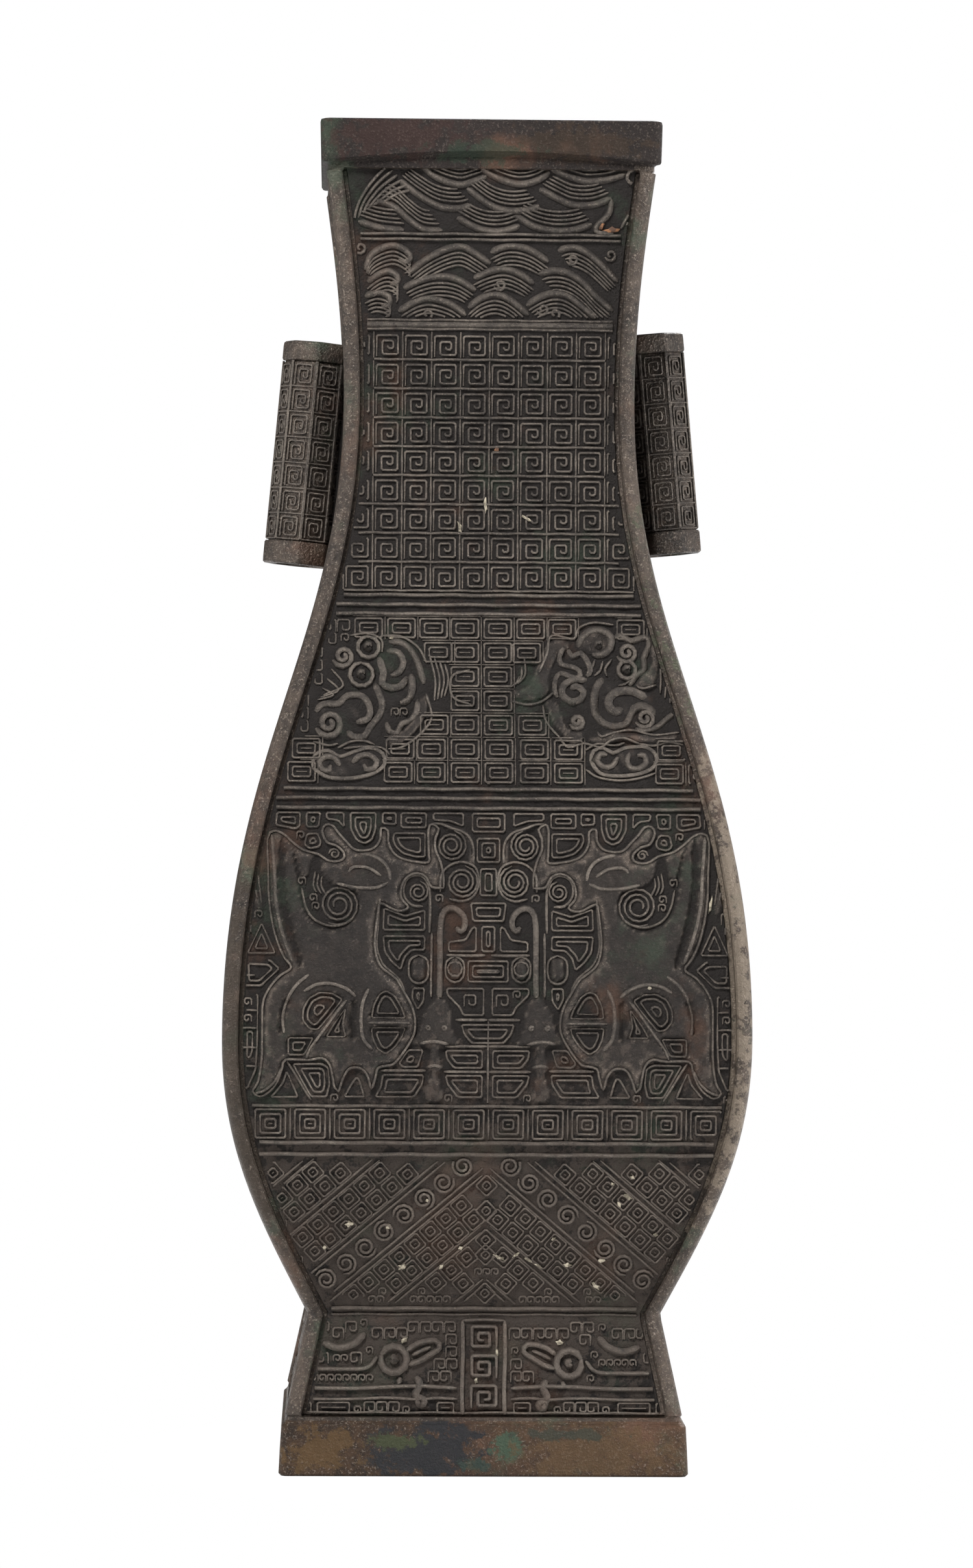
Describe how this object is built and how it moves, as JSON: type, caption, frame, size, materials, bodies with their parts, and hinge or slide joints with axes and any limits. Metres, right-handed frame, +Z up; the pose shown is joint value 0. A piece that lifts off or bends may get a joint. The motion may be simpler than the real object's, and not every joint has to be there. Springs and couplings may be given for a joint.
{
  "type": "bronze vase with tube handles",
  "caption": "Upright cast bronze vase of rectangular section, with a full belly, narrow neck, hollow foot and two open tube handles, covered in low relief frets.",
  "frame": {"origin": "middle of the foot, on the surface that the vase stands on", "axes": "+Z up through the mouth, the wide decorated faces look along -Y and +Y, the tube handles are on the X sides"},
  "size_m": [0.1084, 0.083, 0.28],
  "materials": {
    "bronze": "dark brown patina, satin, worn lighter on the edges"
  },
  "bodies": {
    "root": {"vase": "bronze"}
  },
  "joints": []
}
